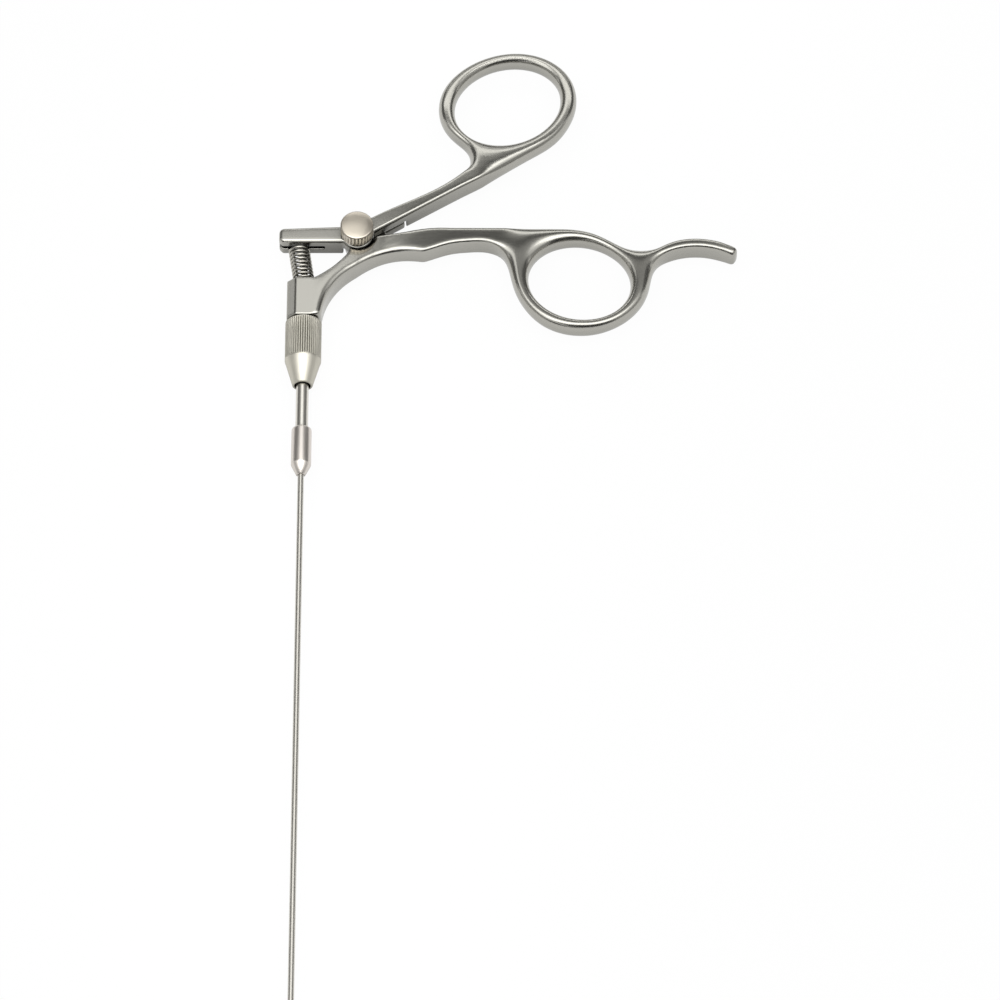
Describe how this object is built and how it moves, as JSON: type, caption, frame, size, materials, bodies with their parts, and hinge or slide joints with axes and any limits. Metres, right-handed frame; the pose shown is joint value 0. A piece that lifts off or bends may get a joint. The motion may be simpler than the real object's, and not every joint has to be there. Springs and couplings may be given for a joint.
{
  "type": "percutaneous nephrolithotomy forceps",
  "caption": "Ring-handled steel forceps: a pull wire in a long slender shaft works small toothed jaws through links, with a knurled coupling nut, knurled pivot screw and return spring.",
  "frame": {"origin": "on the shaft axis, where the working shaft leaves the ferrule's nose", "axes": "+Y along the shaft axis towards the handle, so the jaws point to -Y; +X from the shaft axis towards the finger rings; +Z out of the front face of the handle plate, where the pivot screw's head is"},
  "size_m": [0.1246, 0.493, 0.0132],
  "materials": {
    "handle_steel": "satin",
    "nut_steel": "satin",
    "screw_steel": "polished",
    "bush_steel": "polished",
    "ferrule_steel": "polished",
    "tube_steel": "polished",
    "spring_steel": "bright drawn",
    "rod_steel": "polished",
    "pin_steel": "polished",
    "tip_steel": "polished",
    "jaw_steel": "satin",
    "link_steel": "satin"
  },
  "bodies": {
    "handle": {"fixed_handle": "handle_steel", "stem_tube": "tube_steel", "ferrule": "ferrule_steel", "shaft_tube": "tube_steel", "tip_fork": "tip_steel", "fork_pin": "pin_steel", "return_spring": "spring_steel"},
    "thumb": {"thumb_handle": "handle_steel", "pivot_bush": "bush_steel"},
    "screw": {"pivot_screw": "screw_steel"},
    "nut": {"coupling_nut": "nut_steel"},
    "drive": {"drive_ball_end": "rod_steel", "drive_wire": "rod_steel", "drive_tongue": "rod_steel", "rod_link_pin": "pin_steel"},
    "jaw_left": {"jaw_left": "jaw_steel"},
    "jaw_right": {"jaw_right": "jaw_steel"},
    "link_left": {"link_left": "link_steel", "tail_pin_left": "pin_steel"},
    "link_right": {"link_right": "link_steel", "tail_pin_right": "pin_steel"}
  },
  "joints": [
    {"name": "thumb_hinge", "type": "hinge", "parent": "handle", "child": "thumb", "pos_m": [0.0142, 0.0738, 0], "axis": [0, 0, 1], "range_deg": [-3.27, 0], "stiffness_Nm_per_rad": 0.4},
    {"name": "screw_turn", "type": "hinge", "parent": "handle", "child": "screw", "pos_m": [0.0142, 0.0738, 0], "axis": [0, 0, 1], "continuous": true},
    {"name": "nut_turn", "type": "hinge", "parent": "handle", "child": "nut", "pos_m": [0, 0.037, 0], "axis": [0, 1, 0], "continuous": true},
    {"name": "drive_slide", "type": "slide", "parent": "handle", "child": "drive", "axis": [0, 1, 0], "range_m": [0, 0.00082]},
    {"name": "jaw_left_hinge", "type": "hinge", "parent": "handle", "child": "jaw_left", "pos_m": [0, -0.354, 0], "axis": [0, 0, 1], "range_deg": [0, 30.05]},
    {"name": "jaw_right_hinge", "type": "hinge", "parent": "handle", "child": "jaw_right", "pos_m": [0, -0.354, 0], "axis": [0, 0, 1], "range_deg": [-30.05, 0]},
    {"name": "link_left_hinge", "type": "hinge", "parent": "drive", "child": "link_left", "pos_m": [0, -0.35174, 0], "axis": [0, 0, 1], "range_deg": [-29.55, 0]},
    {"name": "link_right_hinge", "type": "hinge", "parent": "drive", "child": "link_right", "pos_m": [0, -0.35174, 0], "axis": [0, 0, 1], "range_deg": [0, 29.55]}
  ],
  "couplings": [
    {"joint": "drive_slide", "follows": "thumb_hinge", "m_per_rad": -0.0142},
    {"joint": "jaw_left_hinge", "follows": "thumb_hinge", "ratio": -9.174},
    {"joint": "jaw_right_hinge", "follows": "thumb_hinge", "ratio": 9.174},
    {"joint": "link_left_hinge", "follows": "thumb_hinge", "ratio": 9.0144},
    {"joint": "link_right_hinge", "follows": "thumb_hinge", "ratio": -9.0144}
  ]
}
